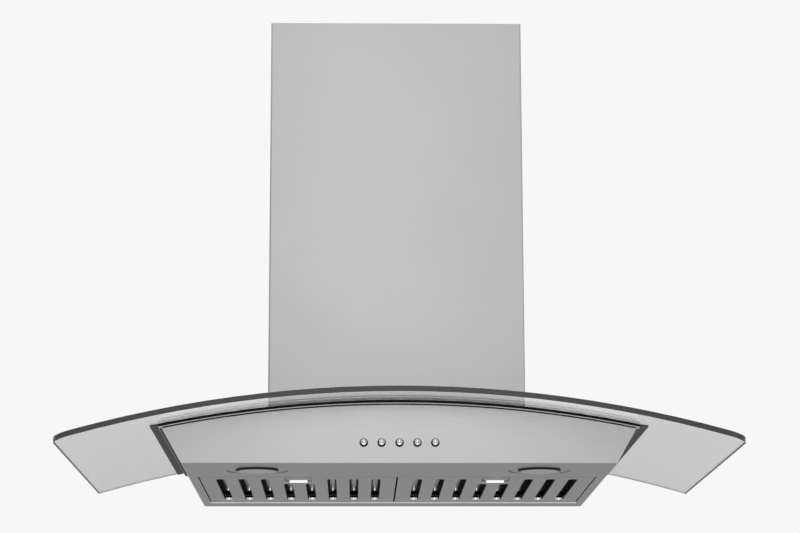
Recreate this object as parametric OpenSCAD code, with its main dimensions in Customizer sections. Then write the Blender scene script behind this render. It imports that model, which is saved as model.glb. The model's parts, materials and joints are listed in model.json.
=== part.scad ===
// Wall-mounted range hood with an arched glass canopy.
// X runs left to right, Y runs into the wall, Z runs up, all in millimetres.
// The origin is the centre of the wall screw pattern, on the wall plane.

/* [Glass canopy] */
// Width of the glass across the arch
glass_w = 750; // [700:5:900]
// Reach of the glass from the wall to its front edge
glass_d = 500; // [480:5:540]
// Thickness of the tempered glass
glass_t = 6; // [5:0.5:8]
// Radius of the arch, to the upper face of the glass
arch_r = 1328; // [1100:10:2500]
// Radius of the two front corners of the glass
glass_corner_r = 20; // [8:1:40]
// Gap between the glass and the wall
glass_wall_gap = 1; // [0.5:0.5:3]
// Thickness of the black seal under the glass
seal_t = 3; // [2:0.1:4]
// Width of the seal strips
seal_w = 10; // [6:1:14]
// Thickness of the seal between the glass and the blower box
box_seal_t = 1.5; // [1:0.5:3]

/* [Body] */
// Sheet thickness of the body
sheet_t = 1; // [0.8:0.1:1.5]
// Width of the body at its underside
body_w_bottom = 480; // [474:2:500]
// Width of the body at the top of its slanted sides
body_w_top = 525; // [512:1:560]
// Height from the underside to the crown of the glass
body_h = 76; // [72:1:90]
// Distance from the front edge of the glass back to the front panel
overhang = 62; // [50:1:75]
// Width of the fold outside the top of each slanted side
flange_w = 3; // [1.5:0.5:6]
// Width of the sealing tape that shows outside each slanted side
tape_w = 12.5; // [6:0.5:16]
// Shadow gap between the deck and the front panel
panel_gap = 1.5; // [1:0.1:4]
// Depth of the folded returns behind the front panel
panel_return = 12; // [8:1:16]
// Underside from the front panel back to the filter opening
front_band = 127; // [125:1:134]
// Underside from the filter opening back to the wall
rear_band = 50; // [46:1:60]
// Underside beside the filter opening
side_band = 10.5; // [9:0.5:14]
// Height of the rims beside the filter opening
rim_h = 8; // [5:1:12]
// Outer radius of the bends along the underside
body_bend_r = 2; // [1.5:0.1:3]

/* [Buttons] */
// Number of push buttons
button_count = 5; // [5]
// Distance between neighbouring buttons
button_pitch = 19.7; // [16:0.1:24]
// Radius of a button cap
button_r = 4.5; // [4:0.1:6]
// How far a cap stands out of the panel
button_proud = 6; // [5:0.1:8]
// Travel of a button
button_travel = 3; // [1.5:0.5:3]
// Height of the buttons above the underside
button_up = 22.5; // [18:0.5:26]
// Gap between a cap and its hole in the panel
button_gap = 0.2; // [0.2:0.1:0.8]
// Radius of a button stem
stem_r = 3; // [2:0.1:3.5]

/* [Lights] */
// Distance of each light from the middle
led_x = 159; // [150:1:168]
// Distance of the lights behind the front panel
led_back = 68; // [60:1:76]
// Depth of the pressed recess that each light sits in
led_dish_h = 1.1; // [0.8:0.1:2]
// Outer radius of the light's trim ring
led_trim_r = 34; // [32:0.5:38]
// Radius of the raised bezel
led_bezel_r = 24; // [18:0.5:27]
// Height of the raised bezel below the trim ring
led_bezel_h = 2.6; // [1:0.1:4]
// Thickness of the trim ring
led_trim_t = 0.6; // [0.5:0.1:0.8]
// Radius of the lens
led_lens_r = 21.5; // [14:0.5:22]
// Radius of the lamp body
led_can_r = 28; // [25:0.5:29]
// Height of the lamp body
led_can_h = 20; // [12:1:26]

/* [Filters] */
// Gap along the outer sides of the filters
filter_side_gap = 1.5; // [1:0.1:3]
// Gap between the two filters
filter_mid_gap = 2; // [1:0.1:4]
// Thickness of a filter
filter_t = 14; // [13.5:0.5:18]
// Number of slots in a filter
slot_count = 8; // [4:1:8]
// Distance between slots
slot_pitch = 25.8; // [24:0.1:26]
// Width of a slot
slot_w = 9.4; // [8:0.1:10.5]
// Plain margin behind the slots
slot_rear_margin = 24; // [20:1:34]
// Plain margin in front of the slots
slot_front_margin = 21.5; // [18:0.5:30]
// Height of the drawn rim round each slot
slot_rim_h = 4; // [3:0.5:6]
// Height of the sloping lip at the lower edge of each slot
slot_lip_h = 2.4; // [1:0.2:2.8]
// Height of the upper baffle sheet above the filter face
baffle_z = 9; // [8:0.5:10]
// Depth of the closed channels pressed into the upper sheet
channel_h = 3; // [2:0.5:3.5]
// Width of a closed channel
channel_w = 10; // [8:0.5:12]
// Travel of a filter latch
latch_travel = 7; // [5:0.5:7]
// Width of the finger lip on a latch
lip_w = 20.5; // [14:0.5:24]
// Height of the finger lip below the filter
lip_h = 2.6; // [2:0.1:6]

/* [Blower box] */
// Height of the blower box above the crown of the glass
box_h = 232; // [228:2:260]
// Sheet thickness of the blower box
box_t = 1.2; // [1:0.1:2]
// Width of the clamping flange beside the box
box_flange = 18; // [17:0.5:19]
// Height of the wall screw pattern above the crown of the glass
mount_up = 150; // [120:5:160]
// Distance of the wall screws outside the sides of the box
mount_out = 5; // [5:0.5:8]
// Distance between the wall screws, up and down
mount_dz = 120; // [80:5:130]
// Radius of a wall screw hole
mount_r = 3.25; // [2.5:0.25:4]
// Radius of the clamping screws
clamp_r = 2.5; // [2:0.25:3]

/* [Fan] */
// Outer radius of the impeller
fan_r = 95; // [85:1:96]
// Length of the impeller along its shaft
fan_len = 100; // [80:2:104]
// Number of impeller blades
blade_count = 36; // [20:1:40]
// Thickness of a blade
blade_t = 1.2; // [0.8:0.1:1.6]
// Growth of the scroll from one quarter turn to the next
scroll_step = 4.5; // [3:0.5:4.5]
// Wall of the scroll
scroll_t = 1; // [0.8:0.1:1.5]
// Radius of the motor
motor_r = 45; // [35:1:50]
// Radius of the motor shaft
shaft_r = 5; // [4:0.5:6]

/* [Exhaust] */
// Outer radius of the exhaust collar
collar_r = 74.5; // [60:0.5:76]
// Wall of the collar
collar_t = 2; // [1.5:0.5:3]
// Height of the collar above its flange
collar_h = 50; // [40:1:70]
// Thickness of a damper flap
flap_t = 1.5; // [1:0.1:2]

/* [Supply] */
// Width of the terminal box
terminal_w = 36; // [30:1:36]
// Length of the terminal box
terminal_l = 90; // [70:1:110]
// Height of the terminal box
terminal_h = 30; // [26:1:40]
// Radius of the motor's capacitor
cap_r = 14; // [10:0.5:14]
// Length of the motor's capacitor
cap_l = 52; // [40:1:80]

/* [Duct covers] */
// Width of the lower duct cover
cover_w = 302; // [298:1:320]
// Distance from the wall to the front of the lower duct cover
cover_d = 275; // [272:1:290]
// Height of the lower duct cover above the crown of the glass
cover_h = 480; // [440:5:600]
// Sheet thickness of the covers
cover_t = 1; // [0.8:0.1:1.2]
// Gap between the two covers
cover_gap = 0.8; // [0.5:0.1:1.5]
// Travel of the upper cover
cover_travel = 400; // [250:10:400]

/* [Clearances] */
// Radial clearance of a shaft or a stem in its bore
fit_gap = 0.05; // [0.02:0.01:0.1]
// Clearance between pieces that lie loosely on each other
rest_gap = 0.3; // [0.2:0.05:0.5]

/* [Hidden] */
$fn = 48;
arch_fn = 720;
eps = 0.01;

// Levels, all measured from the wall screw pattern
crown_z = -mount_up;
floor_z = crown_z - body_h;
axis_z = crown_z - arch_r;
r_glass = arch_r;
r_seal = r_glass - glass_t;
r_deck = r_seal - seal_t;
r_under = r_deck - sheet_t;
tape_t = 1;
r_panel = r_under - panel_gap;
r_box_seal = r_glass + box_seal_t;
r_base = r_box_seal + box_t;
body_d = glass_d - overhang - sheet_t;
deck_d = body_d + sheet_t;

// Slanted sides of the body
bottom_x = body_w_bottom / 2;
top_x = body_w_top / 2;
side_top_z = axis_z + sqrt(r_under * r_under - top_x * top_x);
side_slope = (top_x - bottom_x) / (side_top_z - floor_z);
side_sec = sqrt(1 + side_slope * side_slope);
bend_least = 0.4;
function side_x(z) = bottom_x + (z - floor_z) * side_slope;

// Filter opening and filters
open_x = bottom_x - side_band;
open_front = -(body_d - front_band);
open_rear = -rear_band;
filter_w = open_x - filter_side_gap - filter_mid_gap / 2;
filter_x = (filter_mid_gap + filter_w) / 2;
filter_rear_gap = 4;
filter_front_gap = 1.5;
filter_rear = open_rear - filter_rear_gap;
filter_l = filter_rear - open_front - filter_front_gap;
window_w = 31;
window_l = 36;
window_margin = 4.5;
window_front = -filter_l + window_margin;
window_rear = window_front + window_l;
latch_land = 27;
rail_t = 1.2;
rail_in = 2;
rail_rear = 0.28;
latch_l = 24.5;
latch_gap = 3.5;
latch_front = window_front + latch_gap;
latch_rear = latch_front + latch_l;
latch_side_gap = 1;
latch_wing = 3;
bolt_w = 12.6;
bolt_reach = latch_travel - 1;
latch_lift = 1.2;
guide_t = 1.5;
guide_h = 3.6;
guide_x = window_w / 2 + latch_wing + 0.4;
channel_back = 20;
channel_draft = 1;
air_margin = 5;
slot_lip_w = 0.5;
rim_wall = 1.5 * sheet_t;
tab_x = 70;
tab_w = 20;
tab_l = filter_rear_gap + 8;

// Buttons and their switch
button_z = floor_z + button_up;
cap_len = 5;
cap_taper_h = 4.8;
cap_taper_w = 1.4;
cap_crown = 0.5;
switch_front = body_d - cap_len - button_travel - 1;
stem_len = 16;
switch_len = stem_len + 4;
switch_wall = 7;
switch_leg = 8;
switch_h = 18;

// Lights
led_y = body_d - led_back;
led_edge = 0.5;
led_dish_r = led_trim_r + 1;
led_cap_r = 11;
led_cap_h = 4;
led_fin_gap = 1.6;
led_fin_h = 5;
driver_w = 48;
driver_l = 34;
driver_h = 22;

// Blower box, with room for its flange inside the lower duct cover
cover_side_gap = 8;
cover_front_gap = 19;
flange_front = box_flange + 2;
box_w = cover_w - 2 * (box_flange + cover_side_gap);
box_d = cover_d - flange_front - cover_front_gap;
mount_dx = box_w + 2 * mount_out;
box_top = crown_z + box_h;
outlet_y = -box_d / 2;
cut_in = 7;
cut_x = box_w / 2 - cut_in;
cut_rear = -22;
cut_front = -(box_d - cut_in - 1);
seal_lap = 6;
skirt = 40;
base_x = box_w / 2 + box_flange;
base_front = -(box_d + flange_front);
clamp_in = 8;
clamp_x = box_w / 2 + clamp_in;
clamp_rear_end = 34;
clamp_front_end = 14;
clamp_ys = [-clamp_rear_end, outlet_y, -(box_d - clamp_front_end)];
clamp_front_x = 60;
clamp_front_y = -(box_d + flange_front / 2);
clamp_reach = 20;
glass_hole_gap = 1.5;
screw_gap = 0.2;
nut_gap = 0.02;
clamp_nut_h = 4;
head_r = 4.6;
head_h = 3;

// Fan, scroll and motor
scroll_side_gap = 7;
scroll_rim_gap = 8;
scroll_floor_gap = 1.5;
scroll_r = fan_r + scroll_rim_gap;
scroll_top = box_top - box_t;
fan_x = -1.5 * scroll_step;
fan_z = crown_z + scroll_floor_gap + scroll_t + scroll_step + scroll_r;
fan_front = outlet_y - fan_len / 2;
fan_rear = outlet_y + fan_len / 2;
scroll_front = fan_front - scroll_side_gap;
scroll_rear = fan_rear + scroll_side_gap;
blade_depth = 18;
blade_in = fan_r - blade_depth;
inlet_r = blade_in - 2;
mouth_r = inlet_r - 4;
mouth_round = 4;
mouth_in = scroll_side_gap / 2;
mouth_flange = 10;
mouth_flange_t = 2;
end_ring_t = 2.5;
end_ring_lap = 0.5;
disc_t = 2;
disc_hole_r = 14;
disc_hole_at = 48;
hub_r = 12;
hub_len = 18;
bracket_t = 2;
bracket_lap = 9;
bracket_arm_w = 14;
motor_nose_r = motor_r / 2;
motor_nose_len = 5;
motor_tail_r = 20;
motor_tail_len = 9;
motor_len = scroll_rear - outlet_y - hub_len / 2 - motor_nose_len - 3;
motor_vent_r = 4;
shaft_tail = 6;
shaft_end = 2;
nut_h = 7;
nut_r = 9;

// Exhaust
flange_half = collar_r + 9.5;
flange_t = 2;
collar_in = collar_r - collar_t;
flap_z = box_top + flange_t + 12;
flap_pin_r = 1.5;
flap_pin_x = 4;
flap_pin_end = 0.4;
flap_barrel_r = 3;
flap_barrel_w = 5;
flap_r = collar_in - 1;
ledge_w = 3;
ledge_t = 1.5;
flap_barrel_l = 2 * (collar_in - ledge_w - 4);
collar_screw_x = flange_half - 7;
small_screw_r = 1.6;
small_hole_r = 1.75;
small_head_r = 3.2;
small_head_h = 1.6;

// Supply connection and capacitor on the box, midway between the collar and the box's sides
terminal_t = 1.5;
beside_collar = (flange_half + box_w / 2) / 2;
terminal_x = -beside_collar - terminal_w / 2;
lid_t = 1.2;
lid_screw_in = 10;
gland_r = 8;
gland_bore_r = 4.2;
gland_nut_r = 10.5;
gland_nut_l = 6;
gland_cap_r = 8.5;
gland_cap_l = 7;
clip_w = 12;
clip_t = 1.2;
cap_x = beside_collar;

// Duct covers
bend_r = cover_t + 1;
cover_top = crown_z + cover_h;
cover_x = cover_w / 2;
back_gap = 1.5;
return_w = 14;
upper_x = cover_x - cover_t - cover_gap;
upper_front = -(cover_d - cover_t - cover_gap);
upper_back = -(back_gap + cover_t + 2);
upper_foot = 8;
upper_top_drop = 4;
bracket_drop = 45;
bracket_z = cover_top - bracket_drop;
bracket_h = 30;
bracket_screw_x = 60;
vent_count = 6;
vent_w = 5;
vent_l = 70;
vent_drop = 30;

steel = [0.78, 0.78, 0.78];
dark_steel = [0.55, 0.56, 0.57];
black = [0.07, 0.07, 0.07];

// Extrudes an outline drawn in X and Z from y0 to y1
module along_y(y0, y1) {
    translate([0, y1, 0]) rotate([90, 0, 0]) linear_extrude(y1 - y0) children();
}

// A box given by its two opposite corners
module block(a, b) {
    translate(a) cube(b - a);
}

// Everything under the arch of radius r
module arch_core(r, y0, y1) {
    translate([0, y1, axis_z]) rotate([90, 0, 0]) cylinder(h = y1 - y0, r = r, $fn = arch_fn);
}

// An arched sheet between two radii, over the plan drawn by its children
module arched(r_in, r_out, y0) {
    intersection() {
        difference() {
            arch_core(r_out, y0 - 1, 1);
            arch_core(r_in, y0 - 2, 2);
        }
        translate([0, 0, floor_z]) linear_extrude(2 * body_h) children();
    }
}

// A plan rectangle from x0 to x1 and from y0 to y1
module plan(x0, x1, y0, y1) {
    translate([x0, y0]) square([x1 - x0, y1 - y0]);
}

// Puts its children on the arch at (x, y), with Z along the outward normal
module on_arch(x, y) {
    translate([0, 0, axis_z]) rotate([0, asin(x / r_glass), 0]) translate([0, y, r_glass]) children();
}

// Puts its children at every clamping screw
module at_clamps() {
    for (x = [-clamp_x, clamp_x], y = clamp_ys) on_arch(x, y) children();
    for (x = [-clamp_front_x, clamp_front_x]) on_arch(x, clamp_front_y) children();
}

module clamp_bores(r) {
    at_clamps() translate([0, 0, -clamp_reach]) cylinder(h = 2 * clamp_reach, r = r, $fn = 24);
}

// Section of the body in X and Z with its two lower bends, drawn in by inset
module body_section(inset) {
    r = max(body_bend_r - inset, bend_least);
    z0 = floor_z + inset;
    z1 = z0 + r;
    x0 = side_x(z1) - (inset + r) * side_sec;
    x1 = x0 + r / side_sec;
    x2 = side_x(crown_z) - inset * side_sec;
    side_z = z1 - r * side_slope / side_sec;
    polygon([[-x0, z0], [x0, z0], [x1, side_z], [x2, crown_z], [-x2, crown_z], [-x1, side_z]]);
    for (x = [-x0, x0]) translate([x, z1]) circle(r = r);
}

// Plan of a slot with round ends, its rear end at y = 0
module slot_plan(l, w) {
    translate([-w / 2, -l + w / 2]) square([w, l - w]);
    translate([0, -w / 2]) circle(d = w);
    translate([0, -l + w / 2]) circle(d = w);
}

// Slot with round ends whose walls slope from width w0 at z = 0 to width w1 at z = h
module sloped_slot(l, w0, w1, h) {
    front = -l + w0 / 2;
    for (y = [front, -w0 / 2]) translate([0, y, 0]) cylinder(h = h, r1 = w0 / 2, r2 = w1 / 2);
    along_y(front, -w0 / 2) polygon([[-w0 / 2, 0], [w0 / 2, 0], [w1 / 2, h], [-w1 / 2, h]]);
}

module glass_canopy() {
    r = glass_corner_r;
    x = glass_w / 2;
    color([0.72, 0.78, 0.78, 0.5]) difference() {
        arched(r_seal, r_glass, -glass_d) {
            plan(-x, x, -glass_d + r, -glass_wall_gap);
            plan(-x + r, x - r, -glass_d, -glass_wall_gap - eps);
            for (s = [-1, 1]) translate([s * (x - r), -glass_d + r]) circle(r = r);
        }
        block([-cut_x, cut_front, floor_z], [cut_x, cut_rear, crown_z + 1]);
        clamp_bores(clamp_r + glass_hole_gap);
    }
}

// Two closed strips, one along the rim of the deck and one round the air opening, and tape at the sides
module glass_seal() {
    x = top_x + flange_w;
    color(black) {
        difference() {
            arched(r_deck, r_seal, -deck_d) {
                difference() {
                    plan(-x, x, -deck_d, -glass_wall_gap);
                    plan(-x + seal_w, x - seal_w, -deck_d + seal_w, -glass_wall_gap - seal_w);
                }
                difference() {
                    plan(-base_x, base_x, base_front, -glass_wall_gap - seal_w - 1);
                    plan(-cut_x, cut_x, cut_front, cut_rear);
                }
            }
            clamp_bores(clamp_r + screw_gap);
        }
        arched(r_seal - tape_t, r_seal, -deck_d) for (s = [-1, 1]) mirror([s < 0 ? 1 : 0, 0])
            plan(x - tape_t, top_x + tape_w, -deck_d, -glass_wall_gap);
    }
}

module box_seal() {
    color(black) difference() {
        arched(r_glass, r_box_seal, base_front) difference() {
            plan(-base_x, base_x, base_front, -glass_wall_gap);
            plan(-cut_x, cut_x, cut_front, cut_rear);
        }
        clamp_bores(clamp_r + screw_gap);
    }
}

// Arched top sheet of the body that carries the glass
module deck() {
    x = top_x + flange_w;
    color(steel) difference() {
        arched(r_under, r_deck, -deck_d) difference() {
            plan(-x, x, -deck_d, 0);
            plan(-cut_x + seal_lap, cut_x - seal_lap, cut_front + seal_lap, cut_rear - seal_lap);
        }
        clamp_bores(clamp_r + screw_gap);
    }
}

// Underside, slanted sides and rear wall, folded from one sheet
module pan() {
    front = -(body_d - sheet_t);
    color(steel) difference() {
        union() {
            intersection() {
                union() {
                    along_y(front, 0) difference() {
                        body_section(0);
                        body_section(sheet_t);
                    }
                    along_y(-sheet_t, 0) body_section(0);
                }
                arch_core(r_under, front - 1, 1);
            }
            arched(r_under - sheet_t, r_under, front) for (s = [-1, 1]) mirror([s < 0 ? 1 : 0, 0])
                plan(top_x - 1.5 * sheet_t, top_x + flange_w - sheet_t, front, 0);
            for (x = [-open_x - sheet_t, open_x])
                block([x, open_front, floor_z], [x + sheet_t, open_rear, floor_z + rim_h]);
            at_lights() translate([0, 0, -led_dish_h]) cylinder(h = led_dish_h + sheet_t, r = led_dish_r + sheet_t);
        }
        block([-open_x, open_front, floor_z - 1], [open_x, open_rear, floor_z + rim_h + 1]);
        at_lights() translate([0, 0, -led_dish_h - 1]) {
            cylinder(h = led_dish_h + 1, r = led_dish_r);
            cylinder(h = led_dish_h + sheet_t + 2, r = led_can_r + 1);
        }
    }
}

// Front face of the body, a shallow tray with an arched top edge
module front_panel() {
    back = -(body_d - panel_return);
    color(steel) difference() {
        intersection() {
            union() {
                along_y(-body_d, -(body_d - sheet_t)) body_section(0);
                along_y(-body_d, back) body_section(sheet_t);
            }
            arch_core(r_panel, -body_d - 1, 1);
        }
        intersection() {
            along_y(-(body_d - sheet_t), back + 1) body_section(2 * sheet_t);
            arch_core(r_panel - sheet_t, -body_d - 1, 1);
        }
        for (i = [0 : button_count - 1]) translate([button_x(i), -body_d, button_z])
            rotate([90, 0, 0]) cylinder(h = 10, r = button_r + button_gap, center = true);
    }
}

// Strip under the rear edge of the filter opening
module filter_rail() {
    r = rail_t / 4;
    front = open_rear + rail_in;
    color(steel) translate([-open_x, 0, floor_z]) rotate([90, 0, 90]) linear_extrude(2 * open_x) union() {
        translate([front + r, -rail_t]) square([-rail_rear * rear_band - front - r, rail_t]);
        translate([front, -rail_t + r]) square([rail_t, rail_t - r]);
        translate([front + r, -rail_t + r]) circle(r = r, $fn = 24);
    }
}

function button_x(i) = (i - (button_count - 1) / 2) * button_pitch;

// Chromed cap with a tapered rim and a crowned face, and its stem
module button(i) {
    face_r = button_r - cap_taper_w;
    back = -cap_len - stem_len;
    color("gainsboro") translate([button_x(i), -body_d, button_z]) rotate([90, 0, 0]) rotate_extrude() {
        polygon([
            [0, -cap_len], [button_r, -cap_len], [button_r, button_proud - cap_taper_h],
            [face_r + cap_crown / 2, button_proud - 2 * cap_crown],
            [face_r, button_proud - 1.3 * cap_crown], [face_r - cap_crown, button_proud - 0.8 * cap_crown],
            [face_r / 2, button_proud - cap_crown / 4], [face_r / 4, button_proud - cap_crown / 16],
            [0, button_proud]
        ]);
        polygon([[0, back], [stem_r, back], [stem_r, -cap_len], [0, -cap_len]]);
    }
}

// Row of push switches behind the front panel, on two legs
module switch_housing() {
    half = button_x(button_count - 1) + button_r + switch_wall;
    color("dimgray") translate([0, -switch_front, button_z]) difference() {
        union() {
            block([-half, 0, -switch_h / 2], [half, switch_len, switch_h / 2]);
            for (s = [-1, 1]) translate([s * (half + switch_leg / 2), 0, 0])
                block([-switch_leg / 2 - eps, -(body_d - sheet_t) + switch_front, -switch_h / 3],
                      [switch_leg / 2 + eps, switch_len, switch_h / 3]);
        }
        for (i = [0 : button_count - 1]) translate([button_x(i), -1, 0]) rotate([-90, 0, 0])
            cylinder(h = switch_len - 1, r = stem_r + fit_gap);
    }
}

module at_lights() {
    for (x = [-led_x, led_x]) translate([x, -led_y, floor_z + led_dish_h]) children();
}

// Ring with a raised bezel round the lens
module led_trims() {
    low = -led_trim_t - led_bezel_h;
    color("silver") at_lights() rotate_extrude() polygon([
        [led_lens_r, 0], [led_lens_r, low], [led_bezel_r - led_edge, low], [led_bezel_r, low + led_edge],
        [led_bezel_r, -led_trim_t], [led_trim_r - led_edge, -led_trim_t],
        [led_trim_r, -led_trim_t / 2], [led_trim_r, 0]
    ]);
}

module led_lenses() {
    h = led_trim_t + led_bezel_h - led_edge;
    color("whitesmoke") at_lights() translate([0, 0, -h]) cylinder(h = h, r = led_lens_r);
}

// Finned lamp body with its cable entry on top
module led_bodies() {
    color("gray") at_lights() difference() {
        union() {
            cylinder(h = led_can_h, r = led_can_r);
            translate([0, 0, led_can_h - eps]) cylinder(h = led_cap_h, r = led_cap_r);
        }
        for (a = [0 : 45 : 135]) rotate(a) translate([-led_can_r - 1, -led_fin_gap / 2, led_can_h - led_fin_h])
            cube([2 * led_can_r + 2, led_fin_gap, 2 * led_fin_h]);
    }
}

// Supply of the lights, standing on the underside sheet beside the left light
module led_driver() {
    foot = 3;
    x0 = -led_x + led_dish_r + sheet_t + foot + 1;
    y0 = -(body_d - panel_return - 2);
    color("whitesmoke") translate([x0, y0, floor_z + sheet_t]) difference() {
        union() {
            cube([driver_w, driver_l, driver_h]);
            translate([-foot, driver_l / 4, 0]) cube([driver_w + 2 * foot, driver_l / 2, foot]);
        }
        translate([-1, driver_l / 3, driver_h / 2]) cube([driver_w / 6, driver_l / 3, driver_h]);
    }
}

module at_filter(s) {
    translate([s * filter_x, filter_rear, floor_z]) children();
}

function slot_x(i) = (i - (slot_count - 1) / 2) * slot_pitch;
function is_short(i) = abs(slot_x(i)) < window_w / 2 + slot_w / 2;
function slot_l(i) = is_short(i)
    ? -slot_rear_margin - window_rear - latch_land
    : filter_l - slot_rear_margin - slot_front_margin;

// Visible sheet of a filter with its drawn slots, rim, rear tabs and latch guides
module filter_face() {
    x = filter_w / 2;
    window_h = guide_h - 0.2;
    difference() {
        union() {
            block([-x, -filter_l, 0], [x, 0, sheet_t]);
            difference() {
                block([-x, -filter_l, 0], [x, 0, filter_t]);
                block([-x + sheet_t, -filter_l + sheet_t, -1], [x - sheet_t, -sheet_t, filter_t + 1]);
            }
            for (i = [0 : slot_count - 1]) translate([slot_x(i), -slot_rear_margin + rim_wall, 0])
                linear_extrude(slot_rim_h) slot_plan(slot_l(i) + 2 * rim_wall, slot_w + 2 * rim_wall);
            for (s = [-1, 1]) {
                block([s * tab_x - tab_w / 2, -sheet_t, sheet_t + rest_gap],
                      [s * tab_x + tab_w / 2, tab_l, 2 * sheet_t + rest_gap]);
                mirror([s < 0 ? 1 : 0, 0, 0]) {
                    block([guide_x, latch_front, 0], [guide_x + guide_t, window_rear - 2, guide_h]);
                    block([guide_x - latch_wing, latch_front, guide_h - sheet_t],
                          [guide_x + guide_t, window_rear - 2, guide_h]);
                }
            }
        }
        for (i = [0 : slot_count - 1]) translate([slot_x(i), -slot_rear_margin, 0]) {
            translate([0, 0, -1]) linear_extrude(slot_rim_h + 2) slot_plan(slot_l(i), slot_w);
            translate([0, slot_lip_w, -eps])
                sloped_slot(slot_l(i) + 2 * slot_lip_w, slot_w + 2 * slot_lip_w, slot_w, slot_lip_h);
        }
        block([-window_w / 2, window_front, -1], [window_w / 2, window_rear, sheet_t + eps]);
        block([-bolt_w / 2 - 1, -filter_l - 1, sheet_t], [bolt_w / 2 + 1, -filter_l + sheet_t + 1, window_h]);
    }
}

// Upper sheet: closed channels over the slots, and open slots between the channels
module filter_baffles() {
    x = filter_w / 2 - sheet_t;
    front = -filter_l + sheet_t;
    l = filter_l - slot_rear_margin - slot_front_margin - channel_back + 2;
    channel_in = channel_w - 2 * sheet_t;
    gap_w = slot_pitch - slot_w - air_margin;
    rear = -slot_rear_margin - channel_back;
    top_h = channel_h + sheet_t;
    difference() {
        union() {
            block([-x, front, baffle_z], [x, -sheet_t, baffle_z + sheet_t]);
            for (i = [0 : slot_count - 1]) translate([slot_x(i), rear, baffle_z])
                sloped_slot(l, channel_w, channel_w - 2 * channel_draft, top_h);
        }
        for (i = [0 : slot_count - 1]) translate([slot_x(i), rear - sheet_t, baffle_z - eps])
            sloped_slot(l - 2 * sheet_t, channel_in, channel_in - 2 * channel_draft, channel_h);
        for (i = [0 : slot_count]) translate([slot_x(i) - slot_pitch / 2, rear, baffle_z - 1])
            linear_extrude(channel_h + 2) slot_plan(l, gap_w);
    }
}

// Sliding catch: window plate, finger lip, guided wings and a bolt that hooks over the pan
module filter_latch() {
    top = sheet_t + latch_lift;
    plate = window_w / 2 - latch_side_gap;
    wing = window_w / 2 + latch_wing;
    nose = open_front - filter_rear - bolt_reach;
    block([-plate, latch_front, 0], [plate, latch_rear, sheet_t]);
    block([-lip_w / 2, latch_rear - sheet_t, -lip_h], [lip_w / 2, latch_rear, sheet_t]);
    block([-plate + 2, latch_front, sheet_t / 2], [plate - 2, latch_rear - 3, top]);
    block([-wing, latch_front, top - sheet_t], [wing, latch_rear - 2, top]);
    block([-bolt_w / 2, nose, top - sheet_t], [bolt_w / 2, latch_front + 2, top + 0.2]);
    block([-bolt_w / 2, window_front + rest_gap, 0], [bolt_w / 2, latch_front + 1, top]);
}

// Sheet steel box with a rear plate for the wall screws and a flange that clamps the glass
module blower_box() {
    x = box_w / 2;
    color("lightsteelblue") difference() {
        union() {
            arched(r_box_seal, r_base, base_front) plan(-base_x, base_x, base_front, 0);
            difference() {
                block([-x, -box_d, crown_z - skirt], [x, 0, box_top]);
                block([-x + box_t, -box_d + box_t, crown_z - skirt - 1], [x - box_t, -box_t, box_top - box_t]);
            }
            block([-base_x, -box_t, crown_z - skirt], [base_x, 0, box_top]);
        }
        arch_core(r_box_seal, base_front - 2, 1);
        block([-cut_x, cut_front, crown_z - skirt], [cut_x, cut_rear, crown_z + 2 * box_t + box_seal_t]);
        for (sx = [-1, 1], sz = [-1, 1]) translate([sx * mount_dx / 2, 0, sz * mount_dz / 2])
            rotate([90, 0, 0]) cylinder(h = 4 * box_t, r = mount_r, center = true);
        intersection() {
            translate([0, outlet_y, box_top - 2 * box_t]) cylinder(h = 4 * box_t, r = collar_in, $fn = 96);
            along_y(scroll_front + scroll_t, scroll_rear - scroll_t)
                translate([-collar_r, box_top - 3 * box_t]) square([2 * collar_r, 6 * box_t]);
        }
        clamp_bores(clamp_r + screw_gap);
    }
}

// Quarter disc that starts at angle a
module quarter(r, a) {
    rotate(a) intersection() {
        circle(r = r, $fn = 96);
        square(r);
    }
}

// Section of the scroll in X and Z, grown by g: three growing quarters and the outlet up to top
module scroll_section(g, top) {
    s = scroll_step;
    r = scroll_r + g;
    left = -collar_in - fan_x - g;
    right = collar_in - fan_x + g;
    translate([fan_x, fan_z]) {
        quarter(r, 90);
        translate([s, 0]) quarter(r + s, 180);
        translate([s, s]) quarter(r + 2 * s, 270);
        polygon([[left, 0], [s, 0], [s, s], [r + 3 * s, s], [right, top - fan_z], [left, top - fan_z]]);
    }
}

module scroll_housing() {
    color("dimgray") difference() {
        along_y(scroll_front, scroll_rear) scroll_section(scroll_t, scroll_top);
        along_y(scroll_front + scroll_t, scroll_rear - scroll_t) scroll_section(0, scroll_top + 1);
        translate([fan_x, 0, fan_z]) rotate([90, 0, 0]) cylinder(h = 2 * box_d, r = inlet_r, center = true, $fn = 96);
        fan_screw_bores();
    }
}

// Rounded mouth on the front of the scroll
module inlet_ring() {
    color(black) difference() {
        translate([fan_x, scroll_front, fan_z]) rotate([90, 0, 0]) rotate_extrude($fn = 96) difference() {
            union() {
                translate([mouth_r, -mouth_in]) square([inlet_r - rest_gap - mouth_r, mouth_in + eps]);
                translate([mouth_r, 0]) square([mouth_round + 1, mouth_round]);
                translate([mouth_r, 0]) square([inlet_r + mouth_flange - mouth_r, mouth_flange_t]);
            }
            translate([mouth_r, mouth_round]) difference() {
                square(2 * mouth_round, center = true);
                translate([mouth_round, -mouth_round]) circle(r = mouth_round);
            }
        }
        fan_screw_bores();
    }
}

module fan_screw_bores() {
    at_fan_screws() translate([0, 0, -2 * bracket_t]) cylinder(h = 4 * bracket_t, r = small_hole_r, $fn = 24);
}

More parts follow.
